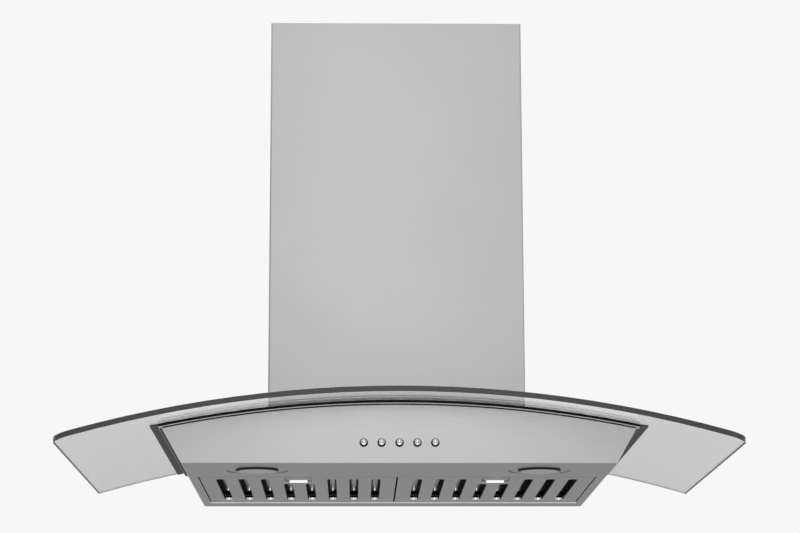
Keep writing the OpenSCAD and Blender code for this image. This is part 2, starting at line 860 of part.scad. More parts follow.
// Curved blades between two end rings, carried by a disc and a hub
module impeller() {
    a = 360 / blade_count;
    mid = (blade_in + fan_r) / 2;
    arc_r = (fan_r - blade_in) * 0.8;
    color("silver") translate([fan_x, 0, fan_z]) {
        along_y(fan_front, fan_rear) intersection() {
            difference() {
                circle(r = fan_r, $fn = 96);
                circle(r = blade_in, $fn = 96);
            }
            for (i = [0 : blade_count - 1]) rotate(i * a) translate([mid, arc_r * 0.8]) difference() {
                circle(r = arc_r + blade_t / 2, $fn = 32);
                circle(r = arc_r - blade_t / 2, $fn = 32);
                translate([-fan_r, 0]) square(2 * fan_r);
            }
        }
        for (y = [fan_front, fan_rear - end_ring_t]) along_y(y, y + end_ring_t) difference() {
            circle(r = fan_r + end_ring_lap, $fn = 96);
            circle(r = blade_in - end_ring_lap, $fn = 96);
        }
        difference() {
            union() {
                along_y(outlet_y - disc_t / 2, outlet_y + disc_t / 2) circle(r = fan_r, $fn = 96);
                along_y(outlet_y - hub_len / 2, outlet_y + hub_len / 2) circle(r = hub_r);
            }
            along_y(-box_d, 0) circle(r = shaft_r);
            for (i = [0 : 5]) rotate([0, i * 60, 0]) translate([disc_hole_at, 0, 0])
                along_y(-box_d, 0) circle(r = disc_hole_r);
        }
    }
}

// Motor can, carried at its rear by the bracket and bored right through for its shaft
module motor() {
    color("slategray") translate([fan_x, scroll_rear, fan_z]) rotate([90, 0, 0]) difference() {
        union() {
            cylinder(h = motor_len, r = motor_r);
            translate([0, 0, motor_len - eps]) cylinder(h = motor_nose_len + eps, r = motor_nose_r);
            translate([0, 0, -motor_tail_len]) cylinder(h = motor_tail_len + eps, r = motor_tail_r);
        }
        translate([0, 0, -shaft_tail - rest_gap]) cylinder(h = 2 * motor_len, r = shaft_r + fit_gap);
        for (i = [0 : 11]) rotate(i * 30 + 15) translate([motor_r * 0.72, 0, motor_len - motor_vent_r])
            cylinder(h = 2 * motor_vent_r, r = motor_vent_r, $fn = 24);
    }
}

module motor_shaft() {
    front = outlet_y - hub_len / 2 - nut_h - shaft_end;
    color("silver") translate([fan_x, 0, fan_z]) along_y(front, scroll_rear + shaft_tail) circle(r = shaft_r);
}

// Ring on the rear of the scroll, with three arms and a plate for the motor
module motor_bracket() {
    color("lightgray") difference() {
        translate([fan_x, scroll_rear, fan_z]) rotate([-90, 0, 0]) difference() {
            union() {
                difference() {
                    cylinder(h = bracket_t, r = inlet_r + bracket_lap, $fn = 96);
                    translate([0, 0, -1]) cylinder(h = bracket_t + 2, r = inlet_r, $fn = 96);
                }
                for (a = [30, 150, 270]) rotate(a) translate([motor_nose_r, -bracket_arm_w / 2, 0])
                    cube([inlet_r + bracket_lap / 4 - motor_nose_r, bracket_arm_w, bracket_t]);
                cylinder(h = bracket_t, r = motor_r);
            }
            translate([0, 0, -1]) cylinder(h = bracket_t + 2, r = motor_tail_r + rest_gap);
        }
        fan_screw_bores();
    }
}

// Puts its children round the mouth on the front of the scroll, then round the bracket on its rear
module at_fan_screws() {
    for (a = [45 : 90 : 315]) translate([fan_x, scroll_front, fan_z]) rotate([90, 0, 0]) rotate(a)
        translate([inlet_r + mouth_flange / 2, 0, mouth_flange_t]) children();
    for (a = [30 : 60 : 330]) translate([fan_x, scroll_rear + bracket_t, fan_z]) rotate([-90, 0, 0]) rotate(a)
        translate([inlet_r + bracket_lap / 2, 0, 0]) children();
}

module fan_screws() {
    color("silver") at_fan_screws() small_screw(bracket_t + scroll_t);
}

module shaft_nut() {
    color("goldenrod") translate([fan_x, outlet_y - hub_len / 2, fan_z]) rotate([90, 0, 0]) difference() {
        cylinder(h = nut_h, r = nut_r, $fn = 6);
        translate([0, 0, -1]) cylinder(h = nut_h + 2, r = shaft_r);
    }
}

module clamp_screws() {
    low = r_glass - r_under + clamp_nut_h + 3;
    top = r_base - r_glass;
    color("silver") at_clamps() {
        translate([0, 0, top]) cylinder(h = head_h, r = head_r, $fn = 24);
        translate([0, 0, -low]) cylinder(h = low + top + eps, r = clamp_r, $fn = 24);
    }
}

module clamp_nuts() {
    low = r_glass - r_under + clamp_nut_h + nut_gap;
    color("silver") at_clamps() translate([0, 0, -low]) difference() {
        cylinder(h = clamp_nut_h, r = head_r, $fn = 6);
        translate([0, 0, -1]) cylinder(h = clamp_nut_h + 2, r = clamp_r + fit_gap, $fn = 24);
    }
}

// Flanged outlet with a ledge that the two flaps lie on
module exhaust_collar() {
    ledge_z = flap_z - box_top - flap_t / 2 - rest_gap - ledge_t;
    color(black) translate([0, outlet_y, box_top]) difference() {
        union() {
            block([-flange_half, -flange_half, 0], [flange_half, flange_half, flange_t]);
            cylinder(h = flange_t + collar_h, r = collar_r, $fn = 96);
        }
        difference() {
            translate([0, 0, -1]) cylinder(h = collar_h + flange_t + 2, r = collar_in, $fn = 96);
            translate([0, 0, ledge_z]) difference() {
                cylinder(h = ledge_t, r = collar_in + collar_t / 2, $fn = 96);
                translate([0, 0, -1]) cylinder(h = ledge_t + 2, r = collar_in - ledge_w, $fn = 96);
            }
        }
        for (x = [-flap_pin_x, flap_pin_x]) translate([x, 0, flap_z - box_top]) rotate([90, 0, 0])
            cylinder(h = 4 * collar_r, r = flap_pin_r, $fn = 24, center = true);
        at_collar_screws() translate([0, 0, -1]) cylinder(h = flange_t + 2, r = small_hole_r, $fn = 24);
    }
}

module at_collar_screws() {
    for (sx = [-1, 1], sy = [-1, 1]) translate([sx * collar_screw_x, sy * collar_screw_x, 0]) children();
}

module flap_pins() {
    color("silver") for (x = [-flap_pin_x, flap_pin_x]) translate([x, outlet_y, flap_z]) rotate([90, 0, 0])
        cylinder(h = 2 * (collar_r - flap_pin_end), r = flap_pin_r, $fn = 24, center = true);
}

// Half disc that swings up on its pin; s is -1 on the left and 1 on the right
module flap(s) {
    mirror_x = s < 0 ? 1 : 0;
    color("lightgray") translate([0, outlet_y, flap_z]) mirror([mirror_x, 0, 0]) difference() {
        union() {
            flap_disc(flap_pin_x, flap_barrel_l / 2);
            flap_disc(flap_pin_x + flap_barrel_w, flap_r);
            translate([flap_pin_x, 0, 0]) rotate([90, 0, 0])
                cylinder(h = flap_barrel_l, r = flap_barrel_r, center = true, $fn = 24);
        }
        translate([flap_pin_x, 0, 0]) rotate([90, 0, 0])
            cylinder(h = 4 * flap_r, r = flap_pin_r + fit_gap, center = true, $fn = 24);
    }
}

// The stretch of the flap's disc beyond x and within half_l of the middle
module flap_disc(x, half_l) {
    intersection() {
        cylinder(h = flap_t, r = flap_r, center = true, $fn = 96);
        block([x, -half_l, -flap_t], [flap_r + 1, half_l, flap_t]);
    }
}

// Pan head screw that stands on z = 0, with its shank going down by l
module small_screw(l) {
    cylinder(h = small_head_h, r = small_head_r, $fn = 24);
    translate([0, 0, -l]) cylinder(h = l + eps, r = small_screw_r, $fn = 24);
}

module collar_screws() {
    color("silver") translate([0, outlet_y, box_top + flange_t]) at_collar_screws() small_screw(flange_t);
}

// Open-topped box for the supply connection
module terminal_box() {
    t = terminal_t;
    color("gray") translate([terminal_x, outlet_y - terminal_l / 2, box_top]) difference() {
        cube([terminal_w, terminal_l, terminal_h]);
        translate([t, t, t]) cube([terminal_w - 2 * t, terminal_l - 2 * t, terminal_h]);
        translate([terminal_w / 2, terminal_l - 2 * t, terminal_h / 2]) rotate([-90, 0, 0])
            cylinder(h = 4 * t, r = gland_r, $fn = 32);
    }
}

// Flat lid with its two screw heads
module terminal_lid() {
    color("silver") translate([terminal_x, outlet_y - terminal_l / 2, box_top + terminal_h]) {
        cube([terminal_w, terminal_l, lid_t]);
        for (y = [lid_screw_in, terminal_l - lid_screw_in]) translate([terminal_w / 2, y, 0])
            cylinder(h = lid_t + small_head_h, r = small_head_r, $fn = 24);
    }
}

// Screwed inlet for the supply cord, in the rear end of the terminal box
module cable_gland() {
    inner = 3 * terminal_t;
    l = inner + gland_nut_l + gland_cap_l;
    color(black) translate([terminal_x + terminal_w / 2, outlet_y + terminal_l / 2, box_top + terminal_h / 2])
        rotate([-90, 0, 0]) difference() {
            union() {
                translate([0, 0, -inner]) cylinder(h = inner + 1, r = gland_r - fit_gap, $fn = 32);
                cylinder(h = gland_nut_l, r = gland_nut_r, $fn = 6);
                translate([0, 0, gland_nut_l - eps]) cylinder(h = gland_cap_l, r = gland_cap_r, $fn = 32);
            }
            translate([0, 0, -l]) cylinder(h = 3 * l, r = gland_bore_r, $fn = 32);
        }
}

// Run capacitor of the motor, lying on the box
module capacitor() {
    tag_w = 6;
    tag_t = 0.8;
    color("whitesmoke") translate([cap_x, outlet_y, box_top + clip_t + cap_r]) rotate([90, 0, 0]) {
        cylinder(h = cap_l, r = cap_r, center = true);
        for (x = [-5, 5]) translate([x - tag_t / 2, -tag_w / 2, cap_l / 2 - eps]) cube([tag_t, tag_w, 8]);
    }
}

// Band round the capacitor with a flat foot
module capacitor_clip() {
    r = cap_r + clip_t;
    color("silver") translate([cap_x, outlet_y, box_top]) difference() {
        union() {
            translate([0, clip_w / 2, r]) rotate([90, 0, 0]) cylinder(h = clip_w, r = r);
            block([-r, -clip_w / 2, 0], [r, clip_w / 2, clip_t]);
        }
        translate([0, clip_w, r]) rotate([90, 0, 0]) cylinder(h = 2 * clip_w, r = cap_r);
    }
}

// Plan rectangle whose four corners are rounded by r
module rounded_plan(x, front, back, r) {
    plan(-x, x, front + r, back - r);
    plan(-x + r, x - r, front, back);
    for (s = [-1, 1], y = [front + r, back - r]) translate([s * (x - r), y]) circle(r = r);
}

// Folded duct cover, open at the back apart from two returns
module cover_shell(x, front, back, z0, z1) {
    translate([0, 0, z0]) linear_extrude(z1 - z0) difference() {
        rounded_plan(x, front, back, bend_r);
        rounded_plan(x - cover_t, front + cover_t, back - cover_t, bend_r - cover_t);
        plan(-x + return_w, x - return_w, back - 2 * cover_t, back + 1);
    }
}

// Visible lower cover; its foot follows the arch of the glass
module lower_duct_cover() {
    color(steel) difference() {
        cover_shell(cover_x, -cover_d, -back_gap, crown_z - skirt, cover_top);
        arch_core(r_glass + rest_gap, -cover_d - 1, 1);
        block([-base_x - rest_gap, -back_gap - 2 * cover_t, crown_z - skirt - 1],
              [base_x + rest_gap, 0, crown_z + r_base - r_glass + rest_gap]);
        at_cover_screws() cylinder(h = 4 * cover_t, r = small_hole_r, center = true, $fn = 24);
    }
}

// Upper cover, nested in the lower one until it is drawn up to the ceiling
module upper_duct_cover() {
    z0 = crown_z + upper_foot;
    z1 = cover_top - upper_top_drop;
    color(steel) difference() {
        cover_shell(upper_x, upper_front, upper_back, z0, z1);
        for (s = [-1, 1], i = [0 : vent_count - 1])
            translate([s * upper_x, -cover_d / 2, z1 - vent_drop - i * 3 * vent_w])
                cube([6 * cover_t, vent_l, vent_w], center = true);
    }
}

// Puts its children on the rear returns of the lower cover, with Z pointing out of the wall
module at_cover_screws() {
    for (s = [-1, 1]) translate([s * (cover_x - return_w / 2), -back_gap - cover_t, bracket_z])
        rotate([90, 0, 0]) children();
}

// Strip on the wall that the lower cover is screwed to
module cover_bracket() {
    x = cover_x - cover_t - rest_gap;
    color("lightgray") difference() {
        block([-x, -back_gap, bracket_z - bracket_h / 2], [x, 0, bracket_z + bracket_h / 2]);
        for (s = [-1, 1]) translate([s * bracket_screw_x, 0, bracket_z]) rotate([90, 0, 0])
            cylinder(h = 4 * back_gap, r = mount_r, center = true, $fn = 24);
        at_cover_screws() cylinder(h = 4 * (cover_t + back_gap), r = small_screw_r, center = true, $fn = 24);
    }
}

module cover_screws() {
    color("silver") at_cover_screws() small_screw(cover_t + back_gap - rest_gap);
}

glass_canopy();
glass_seal();
box_seal();
deck();
pan();
front_panel();
filter_rail();
switch_housing();
button(0);  // button_1
button(1);  // button_2
button(2);  // button_3
button(3);  // button_4
button(4);  // button_5
led_trims();
led_lenses();
led_bodies();
led_driver();
color(steel) at_filter(-1) filter_face();  // filter_left_face
color(dark_steel) at_filter(-1) filter_baffles();  // filter_left_baffles
color("silver") at_filter(-1) filter_latch();  // filter_left_latch
color(steel) at_filter(1) filter_face();  // filter_right_face
color(dark_steel) at_filter(1) filter_baffles();  // filter_right_baffles
color("silver") at_filter(1) filter_latch();  // filter_right_latch
blower_box();
scroll_housing();
inlet_ring();
impeller();
motor();
motor_shaft();
motor_bracket();
fan_screws();
shaft_nut();
clamp_screws();
clamp_nuts();
exhaust_collar();
flap_pins();
flap(-1);  // flap_left
flap(1);  // flap_right
collar_screws();
terminal_box();
terminal_lid();
cable_gland();
capacitor();
capacitor_clip();
lower_duct_cover();
upper_duct_cover();
cover_bracket();
cover_screws();
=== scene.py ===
import json
import math

import bmesh
import bpy
from mathutils import Matrix, Vector

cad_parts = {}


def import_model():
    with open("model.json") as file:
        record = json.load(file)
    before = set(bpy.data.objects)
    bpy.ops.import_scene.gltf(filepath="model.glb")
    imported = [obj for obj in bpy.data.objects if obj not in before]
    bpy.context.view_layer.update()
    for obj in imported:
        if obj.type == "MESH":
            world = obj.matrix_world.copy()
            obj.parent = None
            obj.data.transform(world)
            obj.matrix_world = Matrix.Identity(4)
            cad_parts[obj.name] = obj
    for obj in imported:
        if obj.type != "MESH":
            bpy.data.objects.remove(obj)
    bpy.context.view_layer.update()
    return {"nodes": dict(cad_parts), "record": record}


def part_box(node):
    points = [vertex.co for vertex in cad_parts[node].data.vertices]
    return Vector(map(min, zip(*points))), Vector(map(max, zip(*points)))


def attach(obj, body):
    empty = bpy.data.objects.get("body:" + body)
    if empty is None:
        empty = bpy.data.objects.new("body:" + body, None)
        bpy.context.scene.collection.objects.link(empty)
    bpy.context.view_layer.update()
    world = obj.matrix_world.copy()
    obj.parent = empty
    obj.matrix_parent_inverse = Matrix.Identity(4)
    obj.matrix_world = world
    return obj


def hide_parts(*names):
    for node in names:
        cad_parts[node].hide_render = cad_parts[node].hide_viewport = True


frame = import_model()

MM = 0.001
# Height of the axis of the glass's arch, and distance of each light from the middle of the hood
ARCH_AXIS_Z = -1.478
LIGHT_X = 0.159
SIDES = ("left", "right")

# Camera, fitted to the edges of the hood in the photograph
CAMERA_AT = Vector((-0.0511, -3.0713, -0.5613))
CAMERA_YAW = 0.01975
CAMERA_PITCH = 0.20795
CAMERA_ROLL = -0.00211
CAMERA_LENS = 108.4
SENSOR_W = 36.0


def new_object(name, data):
    obj = bpy.data.objects.new(name, data)
    bpy.context.scene.collection.objects.link(obj)
    return obj


def camera():
    """Camera that looks up at the hood from the photographer's place."""
    data = bpy.data.cameras.new("camera")
    data.sensor_width = SENSOR_W
    data.lens = CAMERA_LENS
    data.clip_start, data.clip_end = 0.05, 100
    forward = Vector((
        math.sin(CAMERA_YAW) * math.cos(CAMERA_PITCH),
        math.cos(CAMERA_YAW) * math.cos(CAMERA_PITCH),
        math.sin(CAMERA_PITCH),
    ))
    level = Vector((math.cos(CAMERA_YAW), -math.sin(CAMERA_YAW), 0))
    rise = level.cross(forward)
    right = level * math.cos(CAMERA_ROLL) + rise * math.sin(CAMERA_ROLL)
    up = rise * math.cos(CAMERA_ROLL) - level * math.sin(CAMERA_ROLL)
    turn = Matrix((right, up, -forward)).transposed().to_4x4()
    obj = new_object("camera", data)
    obj.matrix_world = Matrix.Translation(CAMERA_AT) @ turn
    bpy.context.scene.camera = obj


class Graph:
    """Short calls for the nodes of one material."""

    def __init__(self, name):
        self.material = bpy.data.materials.new(name)
        self.material.use_nodes = True
        self.tree = self.material.node_tree
        self.shader = self.tree.nodes["Principled BSDF"]

    def add(self, kind, **values):
        node = self.tree.nodes.new(kind)
        for key, value in values.items():
            setattr(node, key, value)
        return node

    def link(self, start, end):
        self.tree.links.new(start, end)

    def set(self, **values):
        """Sets sockets of the shader; the words of a socket's name are joined by underscores."""
        for key, value in values.items():
            self.shader.inputs[key.replace("_", " ")].default_value = value

    def place(self, stretch):
        """Object coordinates, multiplied by stretch."""
        where = self.add("ShaderNodeTexCoord")
        scale = self.add("ShaderNodeMapping")
        scale.inputs["Scale"].default_value = stretch
        self.link(where.outputs["Object"], scale.inputs["Vector"])
        return scale.outputs["Vector"]

    def noise(self, stretch, detail):
        node = self.add("ShaderNodeTexNoise")
        node.inputs["Scale"].default_value = 1.0
        node.inputs["Detail"].default_value = detail
        node.inputs["Roughness"].default_value = 0.6
        self.link(self.place(stretch), node.inputs["Vector"])
        return node.outputs["Fac"]

    def spread(self, value, low, high, start=0.3, end=0.7):
        """Maps a noise from start..end to low..high."""
        node = self.add("ShaderNodeMapRange")
        for socket, number in (("From Min", start), ("From Max", end), ("To Min", low), ("To Max", high)):
            node.inputs[socket].default_value = number
        self.link(value, node.inputs["Value"])
        return node.outputs["Result"]

    def tone(self, value, dark, light):
        """Colour between dark and light by value."""
        node = self.add("ShaderNodeMix", data_type="RGBA")
        node.inputs["A"].default_value = (*dark, 1)
        node.inputs["B"].default_value = (*light, 1)
        self.link(value, node.inputs["Factor"])
        return node.outputs["Result"]

    def bump(self, value, depth, strength=0.5):
        """Bump of value; depth is in metres."""
        node = self.add("ShaderNodeBump")
        node.inputs["Strength"].default_value = strength
        node.inputs["Distance"].default_value = depth
        self.link(value, node.inputs["Height"])
        self.link(node.outputs["Normal"], self.shader.inputs["Normal"])


def grey(level, warmth=0.0):
    return (level + warmth, level, level - warmth)


# Brush marks: how many there are in a metre across and along them, their contrast and their depth
BRUSH_ACROSS = 2600.0
BRUSH_ALONG = 24.0
BRUSH_SPREAD = 0.014
BRUSH_DEPTH = 0.004 * MM
# Depth of the mottle of metal, and depth and scale of the grain of plastic
MOTTLE_DEPTH = 0.02 * MM
GRAIN_DEPTH = 0.04 * MM
GRAIN_SCALE = 900.0


def brushed(name, level, rough, along, strength=0.3):
    """Brushed sheet steel; along is the axis that the brush marks run along."""
    g = Graph(name)
    fine = [BRUSH_ALONG if axis == along else BRUSH_ACROSS for axis in "xyz"]
    marks = g.noise(fine, detail=3)
    clouds = g.noise((5, 5, 5), detail=2)
    g.set(Metallic=1.0)
    dark, light = grey(level - BRUSH_SPREAD / 2), grey(level + BRUSH_SPREAD / 2)
    g.link(g.tone(g.spread(marks, 0, 1), dark, light), g.shader.inputs["Base Color"])
    rough_marks = g.spread(marks, rough - 0.03, rough + 0.03)
    add = g.add("ShaderNodeMath", operation="ADD")
    g.link(rough_marks, add.inputs[0])
    g.link(g.spread(clouds, -0.012, 0.012), add.inputs[1])
    g.link(add.outputs[0], g.shader.inputs["Roughness"])
    g.bump(marks, BRUSH_DEPTH, strength)
    return g.material


def glass():
    """Clear tempered glass with a faint tint."""
    g = Graph("tempered glass")
    g.set(Transmission_Weight=1.0, IOR=1.5, Roughness=0.0)
    haze = g.noise((9, 9, 9), detail=2)
    g.link(g.tone(g.spread(haze, 0, 1), (0.990, 0.994, 0.992), (0.996, 1.000, 0.998)),
           g.shader.inputs["Base Color"])
    return g.material


def glass_edge():
    """Ground and polished rim of the glass."""
    g = Graph("ground glass edge")
    g.set(IOR=1.5)
    grind = g.noise((300, 300, 1200), detail=2)
    g.link(g.tone(g.spread(grind, 0, 1), (0.046, 0.048, 0.047), (0.058, 0.061, 0.060)),
           g.shader.inputs["Base Color"])
    g.link(g.spread(grind, 0.22, 0.32), g.shader.inputs["Roughness"])
    return g.material


def tape():
    """Dark grey strip along the sides, under the glass."""
    g = Graph("sealing tape")
    grain = g.noise((1100, 1100, 1100), detail=2)
    g.link(g.tone(g.spread(grain, 0, 1), grey(0.046), grey(0.060)), g.shader.inputs["Base Color"])
    g.link(g.spread(grain, 0.5, 0.62), g.shader.inputs["Roughness"])
    g.bump(grain, GRAIN_DEPTH)
    return g.material


def rubber():
    """Dull black rubber of the seals."""
    g = Graph("black seal")
    grain = g.noise((1600, 1600, 1600), detail=2)
    g.set(Specular_IOR_Level=0.12)
    g.link(g.tone(g.spread(grain, 0, 1), grey(0.002), grey(0.006)), g.shader.inputs["Base Color"])
    g.link(g.spread(grain, 0.55, 0.7), g.shader.inputs["Roughness"])
    g.bump(grain, 0.05 * MM)
    return g.material


def chrome():
    """Bright plate with a slight haze."""
    g = Graph("chrome plate")
    g.set(Metallic=1.0)
    haze = g.noise((300, 300, 300), detail=2)
    g.link(g.tone(g.spread(haze, 0, 1), grey(0.66), grey(0.74)), g.shader.inputs["Base Color"])
    g.link(g.spread(haze, 0.04, 0.10), g.shader.inputs["Roughness"])
    return g.material


def plastic(name, dark, light, rough, specular=0.5):
    """Moulded plastic or dull paint with a fine grain."""
    g = Graph(name)
    g.set(Specular_IOR_Level=specular)
    grain = g.noise((GRAIN_SCALE,) * 3, detail=3)
    clouds = g.noise((12, 12, 12), detail=2)
    g.link(g.tone(g.spread(clouds, 0, 1), dark, light), g.shader.inputs["Base Color"])
    g.link(g.spread(grain, rough - 0.08, rough + 0.08), g.shader.inputs["Roughness"])
    g.bump(grain, GRAIN_DEPTH)
    return g.material


def metal(name, dark, light, rough, scale=60.0, metallic=1.0):
    """Plain metal with mottled tone, such as zinc plate or cast aluminium."""
    g = Graph(name)
    g.set(Metallic=metallic)
    mottle = g.noise((scale,) * 3, detail=5)
    g.link(g.tone(g.spread(mottle, 0, 1), dark, light), g.shader.inputs["Base Color"])
    g.link(g.spread(mottle, rough - 0.07, rough + 0.07), g.shader.inputs["Roughness"])
    g.bump(mottle, MOTTLE_DEPTH)
    return g.material


def galvanised():
    """Zinc coated sheet with its crystal spangle."""
    g = Graph("galvanised sheet")
    g.set(Metallic=1.0)
    cells = g.add("ShaderNodeTexVoronoi", feature="F1")
    cells.inputs["Scale"].default_value = 1.0
    g.link(g.place((130, 130, 130)), cells.inputs["Vector"])
    shade = g.add("ShaderNodeSeparateColor")
    g.link(cells.outputs["Color"], shade.inputs["Color"])
    g.link(g.tone(shade.outputs["Red"], grey(0.34, -0.006), grey(0.50, -0.008)),
           g.shader.inputs["Base Color"])
    g.link(g.spread(shade.outputs["Green"], 0.32, 0.5, 0, 1), g.shader.inputs["Roughness"])
    return g.material


def lens():
    """Frosted lens with the faint spots of the light sources behind it."""
    g = Graph("frosted lens")
    g.set(Subsurface_Weight=0.15, Subsurface_Scale=0.004, IOR=1.49)
    dots = g.add("ShaderNodeTexVoronoi", feature="DISTANCE_TO_EDGE")
    dots.inputs["Scale"].default_value = 1.0
    dots.inputs["Randomness"].default_value = 0.0
    g.link(g.place((170, 170, 0)), dots.inputs["Vector"])
    g.link(g.tone(g.spread(dots.outputs["Distance"], 0, 1, 0.28, 0.42), grey(0.60), grey(0.76)),
           g.shader.inputs["Base Color"])
    frost = g.noise((1500, 1500, 1500), detail=2)
    g.link(g.spread(frost, 0.28, 0.42), g.shader.inputs["Roughness"])
    return g.material


MATERIALS = {
    "glass": glass(),
    "rubber": rubber(),
    "brushed_steel": brushed("brushed steel", 0.55, 0.30, "x"),
    # The baffles' steel is near black: painted shade of the inside of the filters.
    "baffle_steel": brushed("baffle steel painted shade", 0.09, 0.45, "y"),
    "polished_steel": brushed("polished steel", 0.60, 0.16, "x"),
    "chrome": chrome(),
    "lens": lens(),
    "aluminium": metal("aluminium", grey(0.52), grey(0.62), 0.34),
    "galvanised_steel": galvanised(),
    "zinc_plate": metal("zinc plate", grey(0.48), (0.62, 0.61, 0.56), 0.28, scale=300),
    "shaft_steel": metal("ground steel", grey(0.42), grey(0.50), 0.2, scale=400),
    "brass": metal("brass", (0.55, 0.38, 0.13), (0.70, 0.50, 0.20), 0.25, scale=300),
    "motor_paint": metal("motor paint", grey(0.035), grey(0.055), 0.42, scale=500, metallic=0.0),
    "black_plastic": plastic("black plastic", grey(0.014), grey(0.022), 0.5),
    "grey_plastic": plastic("grey plastic", grey(0.055), grey(0.075), 0.5),
    "white_plastic": plastic("white plastic", (0.62, 0.62, 0.60), (0.70, 0.70, 0.68), 0.35),
}


def main_finish(material, *nodes):
    """Gives nodes a finish other than that of their slot."""
    for node in nodes:
        frame["nodes"][node].data.materials[0] = material


def second_finish(node, material, chosen):
    """Gives the faces of a node that chosen picks, by centre and normal, a finish of their own."""
    mesh = frame["nodes"][node].data
    mesh.materials.append(material)
    index = len(mesh.materials) - 1
    for face in mesh.polygons:
        if chosen(face.center, face.normal):
            face.material_index = index


def dress_nodes():
    """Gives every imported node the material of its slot, or a finish of its own."""
    for part in frame["record"]["subparts"]:
        obj = frame["nodes"][part["node"]]
        obj.data.materials.clear()
        obj.data.materials.append(MATERIALS[part["material_slot"]])
    main_finish(brushed("brushed steel cover", 0.48, 0.32, "z"), "lower_duct_cover", "upper_duct_cover")
    main_finish(brushed("brushed steel panel", 0.55, 0.30, "x", strength=0.08), "front_panel")
    main_finish(brushed("brushed steel underside", 0.47, 0.28, "x"),
                "pan", "filter_rail", "filter_left_face", "filter_right_face", "led_trims")
    second_finish("glass_canopy", glass_edge(), lambda at, n: abs(n.y) > 0.9 or abs(n.z) < 0.1)
    dress_seal()
    dress_light_trims()
    dress_filters()


def dress_seal():
    """Dark strip along the sides of the seal, its inner edge lighter as a painted highlight, and the fold of
    the pan beside them painted dark as shade.
    """
    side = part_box("deck")[1][0]
    second_finish("glass_seal", tape(), lambda at, n: abs(at.x) > side - 0.5 * MM and n.z < -0.5)
    # Inner edge of the seal's sides, lighter than the strip: painted highlight.
    second_finish("glass_seal", metal("seal edge painted highlight", grey(0.50), grey(0.62), 0.3, scale=400),
                  lambda at, n: abs(at.x) > side - 1.5 * MM and n.x * at.x < 0 and abs(n.z) < 0.5)
    # Underside of the pan's fold beside the seal, near black: painted shade.
    second_finish("pan", plastic("pan fold painted shade", grey(0.030), grey(0.042), 0.5, specular=0.2),
                  lambda at, n: abs(at.x) > side - 3.6 * MM and n.z < -0.5)


def dress_light_trims():
    """Outer wall of the bezel of each light, painted near black as shade."""
    low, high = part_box("led_trims")
    light_y = (low[1] + high[1]) / 2

    def outer_wall(at, n):
        outward = n.y * (at.y - light_y) > -1e-6 and n.x * (abs(at.x) - LIGHT_X) * at.x > -1e-6
        return abs(n.z) < 0.3 and at.z < low[2] + 2.1 * MM and outward

    second_finish("led_trims", plastic("bezel wall painted shade", grey(0.010), grey(0.016), 0.5, specular=0.2), outer_wall)


def dress_filters():
    """Slot walls and the baffles' lower faces painted near black as shade, slot ends and lips painted light
    as highlights, and plain channels of the baffle filters.
    """
    channel = brushed("channel steel", 0.40, 0.26, "y")
    # Near white steel for the slot ends and the face sheet's lips: painted highlight.
    bright = brushed("lip painted highlight", 0.93, 0.30, "x")
    # Near white steel for the front of the filter rail: painted highlight.
    pale = brushed("rail front painted highlight", 0.97, 0.48, "x")
    # Near black finish for the slots' walls and the baffles' lower faces: painted shade.
    painted_slot_shade = plastic("slot wall painted shade", grey(0.004), grey(0.010), 0.6, specular=0.1)
    for side in SIDES:
        baffles, sheet = f"filter_{side}_baffles", f"filter_{side}_face"
        low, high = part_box(baffles)
        plane = low[2] + 0.1 * MM

        # Inner walls of the baffles' slots and the baffles' lower faces: these get the painted shade.
        def wall(at, n):
            inside = at.y < high[1] - 1 * MM and low[0] + 1 * MM < at.x < high[0] - 1 * MM
            return abs(n.z) < 0.5 and n.y > -0.5 and inside or n.z < -0.9 and at.z < plane

        second_finish(baffles, painted_slot_shade, wall)
        second_finish(baffles, channel, lambda at, n: n.z < -0.5 and at.z > plane or n.z > 0.5)
        second_finish(baffles, bright, lambda at, n: n.y < -0.4 and -0.8 < n.z < -0.2 and at.z > plane)
        low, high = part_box(sheet)

        # Walls of the face sheet's slots: these get the painted shade.
        def slot(at, n):
            across = low[0] + 10 * MM < at.x < high[0] - 10 * MM
            along = low[1] + 10 * MM < at.y < high[1] - 20 * MM
            return across and along and (abs(n.z) < 0.1 and at.z > low[2] + 1.5 * MM or abs(n.x) > 0.6)

        second_finish(sheet, painted_slot_shade, slot)
        # Lips of the face sheet's slots get the painted highlight.
        second_finish(sheet, bright,
                      lambda at, n: n.y < -0.55 and -0.6 < n.z < -0.12 and at.z < low[2] + 2.4 * MM)
    second_finish("filter_rail", pale, lambda at, n: n.y < -0.3)


def soften(obj, width, material=-1):
    """Rounds sharp edges; material is the index of the rounding's material, or -1 for that of its faces."""
    bevel = obj.modifiers.new("softened edges", "BEVEL")
    bevel.width = width
    bevel.segments = 2
    bevel.limit_method = "ANGLE"
    bevel.angle_limit = math.radians(50)
    bevel.material = material


def soften_edges():
    """Rounds the sheared edges of the visible sheet pieces, as deburred steel has them, and of the glass."""
    for node in ("pan", "deck", "filter_left_face", "filter_right_face"):
        soften(frame["nodes"][node], 0.25 * MM)
    soften(frame["nodes"]["front_panel"], 0.5 * MM)
    soften(frame["nodes"]["glass_canopy"], 0.6 * MM, 1)


def revolved(bm, profile, steps):
    """Adds the surface of a profile of (radius, height) points turned round Z; both ends are on the axis."""
    turns = [2 * math.pi * i / steps for i in range(steps)]
    rings = []
    for r, z in profile:
        if r < 1e-9:
            rings.append([bm.verts.new((0, 0, z))])
        else:
            rings.append([bm.verts.new((r * math.cos(a), r * math.sin(a), z)) for a in turns])
    for lower, upper in zip(rings, rings[1:]):
        for i in range(steps):
            j = (i + 1) % steps
            corners = [lower[i % len(lower)], lower[j % len(lower)],
                       upper[j % len(upper)], upper[i % len(upper)]]
            bm.faces.new(list(dict.fromkeys(corners)))
    bmesh.ops.recalc_face_normals(bm, faces=bm.faces)


SQUARE = ((-1, -1), (1, -1), (1, 1), (-1, 1))


